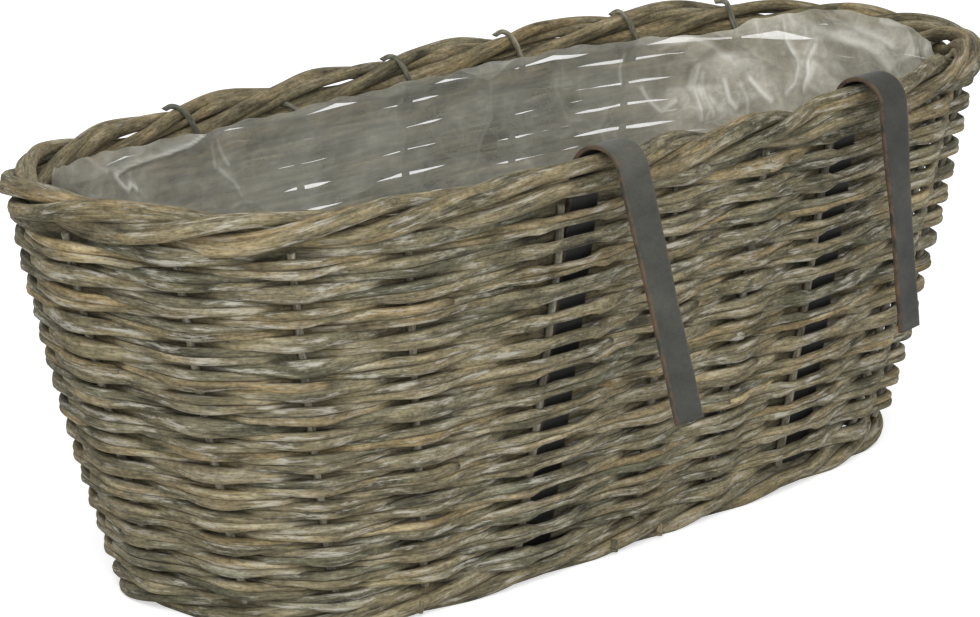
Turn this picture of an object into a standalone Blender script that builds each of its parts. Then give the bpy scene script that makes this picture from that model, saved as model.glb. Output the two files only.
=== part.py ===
"""Woven willow balcony planter with two steel railing hooks and a loose clear film liner.

The front of the planter, where the hooks hang over the railing, faces -Y, and its length lies
along X. It stands on z = 0. Seen from above, the wall is a rounded oblong that is wider at the
rim than at the foot. A place round the wall is given as a share of the way round it,
anticlockwise from the middle of the +X end. The pieces are shaped about the middle of the wall,
and stand on an empty that brings the origin under the middle of the whole outline, hooks and all.
"""
import math

import bmesh
import bpy
import numpy as np
from mathutils import Vector

# Wall: the surface that the stakes stand in, measured at the middle of their thickness
RIM_HALF_LENGTH = 0.295
RIM_HALF_WIDTH = 0.107
RIM_HEIGHT = 0.1885
FOOT_HALF_LENGTH = 0.2316
FOOT_HALF_WIDTH = 0.0793
RIM_SQUARENESS = 3.2
FOOT_SQUARENESS = 3.7
WALL_BULGE_SHARE = 0.2
PLAN_STEPS = 720

# Stakes: thin uprights, closer together round the ends than along the sides
STAKE_DIAMETER = 0.004
STAKE_STEPS = 3
STAKE_SHARES = (
    0.016, 0.054, 0.101, 0.161, 0.222, 0.280, 0.335, 0.390, 0.440, 0.4845,
    0.527, 0.562, 0.603, 0.732, 0.781, 0.897, 0.930, 0.960, 0.988,
)

# Hooks: flat bars woven in beside a stake, bent over the border and down its outer side
HOOK_SPACING = 0.205
HOOK_MIDDLE = 0.0045
HOOK_WIDTH = 0.021
HOOK_THICKNESS = 0.003
HOOK_BEND_RADIUS = 0.013
HOOK_TOP = 0.2070
HOOK_LEG_END = 0.088
HOOK_LEANS = (math.radians(17), math.radians(10))
HOOK_BEND_STEPS = 12
HOOK_LEG_STEPS = 5

# Weavers: single rods that pass outside one upright and inside the next, row upon row
WEAVER_DIAMETER = 0.00525
WEAVER_ROW_GAP = 0.0003
WEAVER_SLACK = 0.0008
WEAVER_COUNT = 15
WEAVER_END_GAP = 0.0012
MIDSPAN_TURN = math.radians(14)

# Border and foot: three strands twisted round the whole rim, and three thinner ones at the foot
STRANDS = 3
STRAND_STEPS = 3
BORDER_STRAND_DIAMETER = 0.0088
BORDER_TWIST_RADIUS = 0.0056
BORDER_HOOK_GAP = 0.0007
FOOT_STRAND_DIAMETER = 0.006
FOOT_TWIST_RADIUS = 0.0038
FOOT_WEAR = 0.0006
TWIST_START = 0

# Base: sticks across the foot, with rods woven over and under them along its length
BASE_STICK_COUNT = 7
BASE_STICK_SPACING = 0.066
BASE_STICK_DIAMETER = 0.0045
BASE_ROD_DIAMETER = 0.006
BASE_ROW_GAP = 0.001
BASE_LONG_RODS = 4
BASE_TURN_REACH = 0.009
BASE_SLACK = 0.0004

# Liner: one loose film bag, pleated where it is too wide for the wall
LINER_THICKNESS = 0.0005
LINER_STEPS = 45
LINER_LEVELS = 6
LINER_PLEAT = 0.005
LINER_PLEATS = 9
LINER_FOOT_RADIUS = 0.018
LINER_HEM_DROP = 0.004

# Clearance between pieces that lie against each other
SEAT = 0.0003

WEAVE_OFFSET = (STAKE_DIAMETER + WEAVER_DIAMETER) / 2 + WEAVER_SLACK
HOOK_UNIT_WIDTH = STAKE_DIAMETER + SEAT + HOOK_WIDTH
BORDER_RADIUS = BORDER_TWIST_RADIUS + BORDER_STRAND_DIAMETER / 2
FOOT_RADIUS = FOOT_TWIST_RADIUS + FOOT_STRAND_DIAMETER / 2
FOOT_HEIGHT = FOOT_RADIUS - FOOT_WEAR
STAKE_FOOT = FOOT_HEIGHT + FOOT_RADIUS + SEAT
STAKE_TOP = RIM_HEIGHT - BORDER_RADIUS - SEAT
WEAVE_FOOT = STAKE_FOOT + WEAVER_DIAMETER / 2
WEAVE_TOP = STAKE_TOP - WEAVER_DIAMETER / 2


def material(name, colour, roughness, metallic=0.0, alpha=1.0):
    """A plain finish in one colour."""
    finish = bpy.data.materials.new(name)
    finish.use_nodes = True
    shader = finish.node_tree.nodes["Principled BSDF"]
    shader.inputs["Base Color"].default_value = (*colour, 1.0)
    shader.inputs["Roughness"].default_value = roughness
    shader.inputs["Metallic"].default_value = metallic
    shader.inputs["Alpha"].default_value = alpha
    finish.diffuse_color = (*colour, alpha)
    return finish


def place(name, data, finish):
    """An object for this data, in the scene, with its finish."""
    piece = bpy.data.objects.new(name, data)
    data.materials.append(finish)
    bpy.context.scene.collection.objects.link(piece)
    return piece


def rod(name, points, diameter, finish, sides=4, ring=False):
    """A round rod along straight runs between the points, capped unless it is a ring."""
    curve = bpy.data.curves.new(name, "CURVE")
    curve.dimensions = "3D"
    curve.twist_mode = "Z_UP"
    curve.bevel_mode = "ROUND"
    curve.bevel_depth = diameter / 2
    curve.bevel_resolution = (sides - 4) // 2
    curve.use_fill_caps = not ring
    spline = curve.splines.new("POLY")
    spline.points.add(len(points) - 1)
    for point, place_at in zip(spline.points, points):
        point.co = (*place_at, 1.0)
    spline.use_cyclic_u = ring
    return place(name, curve, finish)


def plan_line(height):
    """The wall's middle line at a height, and each point's share of the way round."""
    drop = 1 - height / RIM_HEIGHT
    inset = drop * (1 - WALL_BULGE_SHARE * (1 - drop))
    half_length = RIM_HALF_LENGTH - (RIM_HALF_LENGTH - FOOT_HALF_LENGTH) * inset
    half_width = RIM_HALF_WIDTH - (RIM_HALF_WIDTH - FOOT_HALF_WIDTH) * inset
    squareness = RIM_SQUARENESS + (FOOT_SQUARENESS - RIM_SQUARENESS) * drop
    turn = np.linspace(0, 2 * math.pi, PLAN_STEPS + 1)
    across, along = np.sin(turn), np.cos(turn)
    reach = (np.abs(along) ** squareness + np.abs(across) ** squareness) ** (-1 / squareness)
    x, y = half_length * reach * along, half_width * reach * across
    walked = np.concatenate([[0], np.cumsum(np.hypot(np.diff(x), np.diff(y)))])
    return x, y, walked / walked[-1]


def on_wall(share, height, out=0.0):
    """The point at a share of the way round, moved level out of the wall by a distance."""
    x, y, shares = plan_line(height)
    step = 1 / PLAN_STEPS
    ahead, behind = (share + step) % 1, (share - step) % 1
    run = Vector((np.interp(ahead, shares, x) - np.interp(behind, shares, x),
                  np.interp(ahead, shares, y) - np.interp(behind, shares, y), 0)).normalized()
    here = Vector((np.interp(share % 1, shares, x), np.interp(share % 1, shares, y), height))
    return here + Vector((run.y, -run.x, 0)) * out


def wall_direction(share, height):
    """The compass angle that the wall faces at a share of the way round."""
    outward = on_wall(share, height, WEAVE_OFFSET) - on_wall(share, height)
    return math.atan2(outward.y, outward.x)


def front_share(x, height):
    """The share of the way round at which the front of the wall has this x."""
    line_x, line_y, shares = plan_line(height)
    front = slice(PLAN_STEPS // 2, PLAN_STEPS + 1)
    return float(np.interp(x, line_x[front], shares[front]))


def front_y(x, height):
    """The y of the front of the wall, at its middle surface."""
    return on_wall(front_share(x, height), height).y


class Stake:
    """An upright that is one stake, at the same share of the way round at every height."""

    def __init__(self, share):
        self.share = share

    def shares(self, height):
        return (self.share,)

    def place(self, height):
        return on_wall(self.share, height)


class HookUnit:
    """An upright that is a stake and a hook's bar side by side, at the same x at every height."""

    def __init__(self, x):
        self.left = x - HOOK_UNIT_WIDTH / 2
        self.right = x + HOOK_UNIT_WIDTH / 2
        self.share = front_share(x, RIM_HEIGHT)
        self.bar_x = self.right - HOOK_WIDTH / 2

    def shares(self, height):
        edges = (self.left - WEAVER_SLACK, self.right + WEAVER_SLACK)
        return tuple(front_share(edge, height) for edge in edges)

    def place(self, height):
        x = self.left + STAKE_DIAMETER / 2
        return Vector((x, front_y(x, height), height))


def uprights():
    """Every upright, in order round the wall."""
    hooks = [HookUnit(HOOK_MIDDLE + side * HOOK_SPACING / 2) for side in (-1, 1)]
    stakes = [Stake(share) for share in STAKE_SHARES]
    return sorted(stakes + hooks, key=lambda upright: upright.share)


def between(first, second, part):
    """A share part of the way from one share to the next one round."""
    return first + ((second - first) % 1) * part


def weave(posts, finish):
    """The wall's rods: one line of weaving that climbs a row in each turn, cut into rods."""
    count = len(posts)
    rows = int((WEAVE_TOP - WEAVE_FOOT) / (WEAVER_DIAMETER + WEAVER_ROW_GAP))
    crossings = rows * count
    climb = (WEAVE_TOP - WEAVE_FOOT) / (crossings + 1)

    def crossing(number):
        """The points at which the rod passes an upright, and its shares there."""
        height = WEAVE_FOOT + climb * (number + 1)
        side = WEAVE_OFFSET if number % 2 else -WEAVE_OFFSET
        shares = posts[number % count].shares(height)
        return shares, [on_wall(share, height, side) for share in shares]

    def midspan(number):
        """The point half way to the next upright, and how far the wall turns on the way."""
        height = WEAVE_FOOT + climb * (number + 1.5)
        here = posts[number % count].shares(height)[-1]
        there = posts[(number + 1) % count].shares(height)[0]
        turned = wall_direction(there, height) - wall_direction(here, height)
        return on_wall(between(here, there, 0.5), height), abs(math.remainder(turned, math.tau))

    for index in range(WEAVER_COUNT):
        first = round(index * crossings / WEAVER_COUNT)
        last = round((index + 1) * crossings / WEAVER_COUNT) - 1
        points = [midspan(first - 1)[0]]
        for number in range(first, last + 1):
            points += crossing(number)[1]
            halfway, turned = midspan(number)
            if turned > MIDSPAN_TURN or number == last:
                points.append(halfway)
        points[0] += (points[1] - points[0]).normalized() * WEAVER_END_GAP
        points[-1] += (points[-2] - points[-1]).normalized() * WEAVER_END_GAP
        rod(f"weaver_{index + 1:02d}", points, WEAVER_DIAMETER, finish)


def strand_points(posts, strand, height, twist_radius, hook_room):
    """One strand of a twisted ring, a third of a turn further round at each upright."""
    third = math.tau / STRANDS
    points = []
    for number, post in enumerate(posts):
        shares = post.shares(height)
        nearest = hook_room if isinstance(post, HookUnit) else 0
        settled = TWIST_START + third * (number + strand)
        ahead = posts[(number + 1) % len(posts)].shares(height)[0]
        for share in shares:
            points.append(twist_point(share, height, settled, twist_radius, nearest))
        for step in range(1, STRAND_STEPS):
            part = step / STRAND_STEPS
            share = between(shares[-1], ahead, part)
            points.append(twist_point(share, height, settled + third * part, twist_radius, 0))
    return points


def twist_point(share, height, angle, radius, nearest):
    """A point on a strand's turn round the ring's middle, kept off a hook's bar by a distance."""
    out, lift = radius * math.cos(angle), radius * math.sin(angle)
    if nearest:
        return on_wall(share, height + lift, math.copysign(max(abs(out), nearest), out))
    return on_wall(share, height, out) + Vector((0, 0, lift))


def border(posts, finish):
    """The twisted border on the rim, which parts to let each hook's bar through."""
    hook_room = (HOOK_THICKNESS + BORDER_STRAND_DIAMETER) / 2 + BORDER_HOOK_GAP
    for strand in range(STRANDS):
        points = strand_points(posts, strand, RIM_HEIGHT, BORDER_TWIST_RADIUS, hook_room)
        rod(f"border_strand_{strand + 1}", points, BORDER_STRAND_DIAMETER, finish, 6, True)


def foot(posts, finish):
    """The twisted ring that the planter stands on, worn flat underneath."""
    ground = ground_cutter()
    for strand in range(STRANDS):
        name = f"foot_strand_{strand + 1}"
        points = strand_points(posts, strand, FOOT_HEIGHT, FOOT_TWIST_RADIUS, 0)
        whole = rod(f"{name}_curve", points, FOOT_STRAND_DIAMETER, finish, 4, True)
        mesh = bpy.data.meshes.new_from_object(whole)
        bpy.data.objects.remove(whole)
        piece = place(name, mesh, finish)
        cut = piece.modifiers.new("ground", "BOOLEAN")
        cut.operation = "DIFFERENCE"
        cut.object = ground


def ground_cutter():
    """The space under the ground, which wears the foot flat."""
    size = 2 * RIM_HALF_LENGTH
    mesh = bpy.data.meshes.new("ground_cutter")
    shape = bmesh.new()
    bmesh.ops.create_cube(shape, size=size)
    bmesh.ops.translate(shape, verts=shape.verts, vec=(0, 0, -size / 2))
    shape.to_mesh(mesh)
    shape.free()
    cutter = bpy.data.objects.new("ground_cutter", mesh)
    bpy.context.scene.collection.objects.link(cutter)
    cutter.hide_render = True
    cutter.display_type = "WIRE"
    return cutter


def stakes(posts, finish):
    """The stakes, from the foot ring up to the underside of the border."""
    heights = np.linspace(STAKE_FOOT, STAKE_TOP, STAKE_STEPS + 1)
    for number, post in enumerate(posts):
        points = [post.place(float(height)) for height in heights]
        rod(f"stake_{number + 1:02d}", points, STAKE_DIAMETER, finish)


def hook_profile(x, lean):
    """The hook's middle line as y and z: up the wall, over the border and down outside it."""
    centre_z = HOOK_TOP - HOOK_THICKNESS / 2 - HOOK_BEND_RADIUS
    heights = np.linspace(STAKE_FOOT, RIM_HEIGHT, HOOK_LEG_STEPS)
    line = [(front_y(x, float(height)), float(height)) for height in heights]
    rise = line[-1][1] - line[-2][1]
    slope = math.atan2(line[-2][0] - line[-1][0], rise)
    top_y = line[-1][0] - (centre_z - RIM_HEIGHT) * math.tan(slope)
    centre_y = top_y - HOOK_BEND_RADIUS / math.cos(slope)
    for angle in np.linspace(slope, math.pi - lean, HOOK_BEND_STEPS + 1):
        line.append((centre_y + HOOK_BEND_RADIUS * math.cos(angle),
                     centre_z + HOOK_BEND_RADIUS * math.sin(angle)))
    end_y = line[-1][0] - (line[-1][1] - HOOK_LEG_END) * math.tan(lean)
    line.append((end_y, HOOK_LEG_END))
    return np.array(line)


def flat_bar(name, x, line, width, thickness, finish):
    """A flat bar whose thickness follows a line in the y and z plane, as wide along x."""
    steps = unit_steps(line)
    run = np.concatenate([steps[:1], steps[:-1] + steps[1:], steps[-1:]])
    run /= np.linalg.norm(run, axis=1)[:, None]
    side = np.stack([run[:, 1], -run[:, 0]], axis=1) * thickness / 2
    outline = np.concatenate([line + side, (line - side)[::-1]])
    mesh = bpy.data.meshes.new(name)
    shape = bmesh.new()
    corners = [shape.verts.new((x - width / 2, y, z)) for y, z in outline]
    face = shape.faces.new(corners)
    swept = bmesh.ops.extrude_face_region(shape, geom=[face])
    moved = [part for part in swept["geom"] if isinstance(part, bmesh.types.BMVert)]
    bmesh.ops.translate(shape, verts=moved, vec=(width, 0, 0))
    bmesh.ops.recalc_face_normals(shape, faces=shape.faces)
    shape.to_mesh(mesh)
    shape.free()
    return place(name, mesh, finish)


def unit_steps(line):
    """The unit direction of each run of a line."""
    steps = np.diff(line, axis=0)
    return steps / np.linalg.norm(steps, axis=1)[:, None]


def hooks(posts, finish):
    """The two flat steel hooks."""
    units = [post for post in posts if isinstance(post, HookUnit)]
    for number, (unit, lean) in enumerate(zip(units, HOOK_LEANS)):
        line = hook_profile(unit.bar_x, lean)
        flat_bar(f"hook_{number + 1}", unit.bar_x, line, HOOK_WIDTH, HOOK_THICKNESS, finish)


def base(stick_finish, rod_finish):
    """The base: sticks across the foot, and rods that run back and forth along it."""
    offset = (BASE_STICK_DIAMETER + BASE_ROD_DIAMETER) / 2 + BASE_SLACK
    height = offset + BASE_ROD_DIAMETER / 2 + SEAT
    radius = BASE_ROD_DIAMETER / 2
    line_x, line_y, _ = plan_line(height)
    half_length = line_x.max() - FOOT_RADIUS - SEAT
    half_width = line_y.max() - FOOT_RADIUS - SEAT

    def floor_width(x):
        """Half the width of the floor inside the foot ring, at a distance along it."""
        left_over = 1 - min(x / half_length, 1) ** FOOT_SQUARENESS
        return half_width * left_over ** (1 / FOOT_SQUARENESS)

    middle = (BASE_STICK_COUNT - 1) / 2
    sticks = [(number - middle) * BASE_STICK_SPACING for number in range(BASE_STICK_COUNT)]
    for number, x in enumerate(sticks):
        end = floor_width(abs(x) + BASE_STICK_DIAMETER / 2)
        ends = [Vector((x, -end, height)), Vector((x, end, height))]
        rod(f"base_stick_{number + 1}", ends, BASE_STICK_DIAMETER, stick_finish)

    turn = BASE_TURN_REACH + radius
    long_half = floor_width(sticks[-1] + turn) - radius
    whole_half = floor_width(sticks[-2] + turn) - radius
    pitch = BASE_ROD_DIAMETER + BASE_ROW_GAP
    long_rows = np.linspace(-long_half, long_half, int(2 * long_half / pitch) + 1)
    short_count = int((whole_half - long_half) / pitch)
    short_rows = np.linspace(long_half, whole_half, short_count + 1)[1:]
    groups = [(-short_rows[::-1], sticks[1:-1])]
    groups += [(rows, sticks) for rows in np.array_split(long_rows, BASE_LONG_RODS)]
    groups += [(short_rows, sticks[1:-1])]
    row = 0
    for number, (rows, passed) in enumerate(groups):
        points = []
        for y in rows:
            order = passed[::-1] if row % 2 else passed
            points.append(Vector((order[0] + math.copysign(BASE_TURN_REACH, order[0]), y, height)))
            for x in order:
                side = offset if (row + sticks.index(x)) % 2 else -offset
                points.append(Vector((x, y, height + side)))
            points.append(Vector((order[-1] + math.copysign(BASE_TURN_REACH, order[-1]), y, height)))
            row += 1
        rod(f"base_rod_{number + 1}", points, BASE_ROD_DIAMETER, rod_finish)
    return height + offset + radius


def liner(floor, finish):
    """The film bag: it lies on the base, stands against the weave and ends under the border."""
    wall_gap = WEAVE_OFFSET + WEAVER_DIAMETER / 2 + WEAVER_SLACK
    mouth_gap = BORDER_RADIUS + SEAT + WEAVER_SLACK
    low = floor + SEAT
    high = RIM_HEIGHT - LINER_HEM_DROP
    mesh = bpy.data.meshes.new("liner")
    shape = bmesh.new()
    levels = [(low, LINER_FOOT_RADIUS)]
    levels += [(low + LINER_FOOT_RADIUS * (1 - math.cos(angle)), LINER_FOOT_RADIUS * (1 - math.sin(angle)))
               for angle in (math.pi / 4, math.pi / 2)]
    heights = np.linspace(low + LINER_FOOT_RADIUS, high, LINER_LEVELS)[1:]
    levels += [(float(height), 0.0) for height in heights]
    rings = []
    for height, tucked in levels:
        climbed = (height - low) / (high - low)
        gap = wall_gap + (mouth_gap - wall_gap) * climbed ** 4
        ring = []
        for step in range(LINER_STEPS):
            share = step / LINER_STEPS
            pleat = LINER_PLEAT * climbed * (1 - math.cos(math.tau * LINER_PLEATS * share)) / 2
            ring.append(shape.verts.new(on_wall(share, height, -gap - tucked - pleat)))
        rings.append(ring)
    for lower, upper in zip(rings, rings[1:]):
        for step in range(LINER_STEPS):
            ahead = (step + 1) % LINER_STEPS
            shape.faces.new((lower[step], lower[ahead], upper[ahead], upper[step]))
    shape.faces.new(rings[0][::-1])
    bmesh.ops.recalc_face_normals(shape, faces=shape.faces)
    shape.to_mesh(mesh)
    shape.free()
    piece = place("liner", mesh, finish)
    film = piece.modifiers.new("film", "SOLIDIFY")
    film.thickness = LINER_THICKNESS
    film.offset = -1
    return piece


def stand_over_origin():
    """Put every piece on an empty, moved level until the origin is under the middle of all of them."""
    pieces = [piece for piece in bpy.data.objects if not piece.hide_render]
    bpy.context.view_layer.update()
    graph = bpy.context.evaluated_depsgraph_get()
    meshes = [piece.evaluated_get(graph).to_mesh() for piece in pieces]
    places = np.array([tuple(point.co) for mesh in meshes for point in mesh.vertices])
    middle = (places.min(axis=0) + places.max(axis=0)) / 2
    planter = bpy.data.objects.new("planter", None)
    bpy.context.scene.collection.objects.link(planter)
    planter.location = (-middle[0], -middle[1], 0)
    for piece in bpy.data.objects:
        if piece != planter:
            piece.parent = planter


def main():
    for old in list(bpy.data.objects):
        bpy.data.objects.remove(old)
    willow = material("willow", (0.30, 0.25, 0.18), 0.8)
    border_willow = material("border_willow", (0.27, 0.23, 0.17), 0.8)
    stake_willow = material("stake_willow", (0.36, 0.32, 0.26), 0.8)
    base_willow = material("base_willow", (0.33, 0.27, 0.19), 0.85)
    steel = material("dark_steel", (0.09, 0.09, 0.085), 0.5, 1.0)
    film = material("clear_film", (0.75, 0.76, 0.77), 0.25, 0.0, 0.4)
    posts = uprights()
    stakes(posts, stake_willow)
    weave(posts, willow)
    border(posts, border_willow)
    foot(posts, border_willow)
    hooks(posts, steel)
    floor = base(stake_willow, base_willow)
    liner(floor, film)
    stand_over_origin()


main()
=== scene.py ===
"""Looks of the woven willow balcony planter: bark, twisted rods, steel hooks and loose clear film."""
import math

import bpy
import numpy as np
from mathutils import Matrix, Vector


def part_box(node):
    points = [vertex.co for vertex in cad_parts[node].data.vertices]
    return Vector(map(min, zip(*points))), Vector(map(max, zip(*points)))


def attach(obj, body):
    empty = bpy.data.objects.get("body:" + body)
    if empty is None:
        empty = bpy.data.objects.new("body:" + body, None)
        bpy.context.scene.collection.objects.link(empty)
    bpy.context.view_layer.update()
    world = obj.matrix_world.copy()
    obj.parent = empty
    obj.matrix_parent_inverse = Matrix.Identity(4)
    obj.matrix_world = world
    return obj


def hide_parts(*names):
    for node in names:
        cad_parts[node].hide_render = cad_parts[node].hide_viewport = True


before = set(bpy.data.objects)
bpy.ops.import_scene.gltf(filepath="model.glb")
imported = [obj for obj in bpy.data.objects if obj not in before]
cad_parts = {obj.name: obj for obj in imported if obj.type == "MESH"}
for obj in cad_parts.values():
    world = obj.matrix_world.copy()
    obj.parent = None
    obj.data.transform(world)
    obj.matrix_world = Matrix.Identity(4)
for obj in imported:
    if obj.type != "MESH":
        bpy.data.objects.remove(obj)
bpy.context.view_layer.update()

SEED = 7

# Wall, as in the frame: its middle surface, and where its middle stands. A share is how far round it a
# place is: 0 at the right end, 0.25 at the back, 0.5 at the left end and 0.75 at the front.
PLAN_MIDDLE = (-0.000178, 0.024848)
RIM_HALF_LENGTH = 0.295
RIM_HALF_WIDTH = 0.107
RIM_HEIGHT = 0.1885
FOOT_HALF_LENGTH = 0.2316
FOOT_HALF_WIDTH = 0.0793
RIM_SQUARENESS = 3.2
FOOT_SQUARENESS = 3.7
WALL_BULGE_SHARE = 0.2
PLAN_TOP_SHARE = 1.15
PLAN_STEPS = 1440
PLAN_LEVELS = 48

# Uprights, as in the frame; BENDS, here and below, are the wave and the size of irregular bends
STAKE_SHARES = (
    0.016, 0.054, 0.101, 0.161, 0.222, 0.280, 0.335, 0.390, 0.440, 0.4845,
    0.527, 0.562, 0.603, 0.732, 0.781, 0.897, 0.930, 0.960, 0.988,
)
STAKE_RADIUS = 0.002
STAKE_OUT = 0.0006
STAKE_RINGS, STAKE_STEP = 48, 8
STAKE_TAPER = (1.02, 0.92)
STAKE_BENDS = (0.03, 0.00006)
STAKE_TONE, TIP_TONE = 0.6, 0.0

# Hooks, as in the frame, apart from their sheet, their twists and the second one's lean
HOOK_SPACING = 0.205
HOOK_MIDDLE = 0.0045
HOOK_WIDTH = 0.021
HOOK_THICKNESS = 0.003
HOOK_BEND_RADIUS = 0.013
HOOK_TOP = 0.2070
HOOK_LEG_END = 0.088
HOOK_LEANS = (math.radians(17), math.radians(7))
HOOK_TWISTS = (math.radians(4), math.radians(10))
HOOK_TWIST_REACH = 0.6
HOOK_CORNER = 0.0006
HOOK_SHEET = 0.0023
HOOK_BENDS = (0.05, 0.00012)
HOOK_WIDTH_BENDS = (0.03, 0.00008)
SEAT = 0.0003
HOOK_UNIT_WIDTH = 2 * STAKE_RADIUS + SEAT + HOOK_WIDTH
HOOK_PLACES = tuple(HOOK_MIDDLE + side * HOOK_SPACING / 2 for side in (-1, 1))
HOOK_CLEARANCE = 0.0008

# Rings of a hook's inner leg, bend and outer leg, and points of its section's corners and flats
LEG_RINGS, BEND_RINGS, OUTER_RINGS = 9, 33, 25
SECTION_POINTS = 4
FLAT_SHARE = 0.75

# Each hook's tone and how strong the painted sheen on its bend is, as if its top caught the light; how many
# of the bend's rings get painted shade like the inner leg, which ring has the most painted sheen, how far
# that spreads, and how closely rust keeps to the edges
HOOK_TONES_AND_SHEENS = ((0.70, 0.30), (0.42, 0.24))
SHADED_RINGS, SHEEN_RING = 3, 24
SHEEN_SPREAD = 0.013
RUST_POWER = 10

# Rods: half their depth and half their height, between two uprights and where they pass one
WEAVER_DEPTH = 0.0023
WEAVER_HEIGHT = 0.0030
WEAVER_SWELL = 0.0011
SWELL_POWER = 1.3
PAIR_HEIGHT = 0.0017
PAIR_SWELL = 0.0005
PAIR_SWELLS = (0.4, 1.6)
PAIR_OFFSET = 0.92
WEAVER_SWAY = 0.0049
SWAY_POWER = 1.9
SQUARED = 3.0
ROD_SIZES = (0.95, 1.06)
BUTT_SIZE, TIP_LOSS = 1.05, 0.10
ROD_BENDS = (0.06, 0.0003)
ROD_DEPTH_BENDS = (0.04, 0.00015)
ROD_HEIGHT_BENDS = (0.05, 0.00018)
ROD_LIFT_BENDS = (0.085, 0.00035)
ROD_STEP = 0.003
ROD_SIDES = 10
RING_SIDES = 12

# How much of a spot's wear and painted shade comes from its rod's place in the weave, and how much of its
# wear and painted light from facing out
PLACE_WEAR_AND_SHADE, FACING_WEAR_AND_LIGHT = 0.6, 0.55

# Rows of the weave, and how thick its rods are by the hooks, at the two ends and, as thousandths of
# a share and of a metre, along the back
WEAVER_COUNT = 15
WEAVER_LENGTHS = 3
WEAVE_ROWS = 30
WEAVE_FOOT = 0.0108
WEAVE_TOP = 0.1803
SINGLE_SHARE = 0.3
HOOK_THINNING = 0.0005
HOOK_FILL = 0.0010
HOOK_EASE_SHARE = 0.0045
HOOK_HOLD = 1.3
END_SHARES = (0.449, 0.941)
END_SPREAD = 0.022
BACK_THINNING = (
    (50, 0), (72, 0.3), (88, 0.8), (124, 0.8), (138, 0), (160, 0.3), (175, -0.3), (205, 0.4), (225, 0.1),
    (280, 0.3), (300, -0.4), (460, -0.4), (500, 0),
)

# Rod ends that stand out of the weave: the share and the height of each, in thousandths
TAILS = (
    (645, 109), (588, 148), (560, 120), (612, 62), (668, 142), (705, 48), (735, 115), (760, 71), (795, 135),
    (905, 98), (935, 60), (50, 105), (125, 60), (180, 128), (265, 84), (330, 144), (400, 52), (470, 117),
)
TAIL_RADIUS = 0.0021
TAIL_TAPER = (1.12, 0.92)
TAIL_HEIGHT = 1.1
TAIL_OUT = 0.0012
TAIL_LIFT = 0.0034
TAIL_LIFTS = (0.7, 1.0)
TAIL_START = -0.6
TAIL_ENDS = (0.2, 0.8)
TAIL_SLANTS = (1.5, 3.0)

# Stake ends that stand out of the foot ring
NUB_SHARES = (0.594, 0.711, 0.742, 0.120, 0.330)
NUB_RADIUS = 0.0019
NUB_TAPER = (1.05, 0.95)
NUB_RINGS = 6
NUB_RUN_SHARE = 0.003
NUB_OUT = 0.0050
NUB_REACH = 0.0030

# Twisted border and foot ring; ripples are waves that close round the wall, as counts
STRANDS = 3
BORDER_TWIST_RADIUS = 0.0056
BORDER_ROD_RADII = (0.0032, 0.0029)
BORDER_ROD_OFFSET = 0.0018
BORDER_ROD_TURNS = 5
BORDER_TALLER = 1.06
BORDER_SQUARED = 2.3
BORDER_SWELLS, BORDER_SWELL = 4, 0.05
BORDER_RIPPLES = (9, 17, 26)
BORDER_RIPPLE_LIFT, BORDER_RIPPLE_SWELL = 0.0002, 0.02
BORDER_LIT = math.radians(40)
BORDER_HOOK_EASE = 0.017
BORDER_HOOK_HOLD = 1.25
BORDER_HOOK_PLACES = ((0.0074, -0.0008), (0.0074, 0.0084), (-0.0076, -0.0030))
FOOT_HEIGHT = 0.0062
FOOT_TWIST_RADIUS = 0.0038
FOOT_ROD_RADIUS = 0.0034
FOOT_RIPPLES = (11, 23, 31)
FOOT_RIPPLE_SWELL = 0.03

# Stake tips that curl over the border, in thousandths: share gained, distance out of the wall, height
TIP_ROUTE = (
    (0, -3, 172), (1, -8.5, 179), (3, -10.6, 184.5), (5.5, -11.2, 189.5), (7.2, -10.4, 194.5),
    (8, -7.8, 197.8), (8.8, -4, 198.8), (10, -0.8, 196.5),
)
TIP_SHARES = (0.054, 0.101, 0.161, 0.222, 0.335)
TIP_RADIUS = 0.0015
TIP_TAPER = (1.15, 0.8)
TIP_SPREAD = 0.0003
TIP_RINGS = 29
LOW_TIP = 0.6

# Base, as in the frame
BASE_STICK_COUNT = 7
BASE_STICK_SPACING = 0.066
BASE_STICK_RADIUS = 0.00225
BASE_STICK_BENDS = (0.05, 0.0001)
BASE_STICK_RINGS = 40
BASE_ROD_RADIUS = 0.003
BASE_ROD_BENDS = (0.07, 0.03)
BASE_ROD_RINGS = 120
BASE_ROW_GAP = 0.001
BASE_LONG_RODS = 4
BASE_TURN_REACH = 0.009
BASE_SLACK = 0.0004
UP = (0, 0, 1)
FOOT_RADIUS = 0.0068

# Film: the share and the height of its hem and how loose it hangs, in thousandths, the hem's waves as
# size and count, and how many steps each way the tables are smoothed
FILM_HEM = (
    (0, 198.5), (17, 198), (45, 192), (62, 186.5), (83, 185), (135, 186.8), (190, 187.2), (300, 186.5),
    (341, 187.2), (366, 188.6), (395, 191), (425, 193), (453, 197), (475, 197), (505, 190), (560, 183.5),
    (700, 184), (850, 184), (930, 186), (960, 191.5), (985, 197),
)
HEM_WAVES = ((0.0006, 23), (0.0004, 61))
FILM_LOOSE = (
    (0, 850), (30, 1000), (85, 900), (105, 350), (150, 140), (220, 80), (330, 160), (375, 450), (440, 600),
    (490, 400), (560, 250), (700, 150), (850, 200), (940, 500),
)
TABLE_REACH = 17
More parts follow.
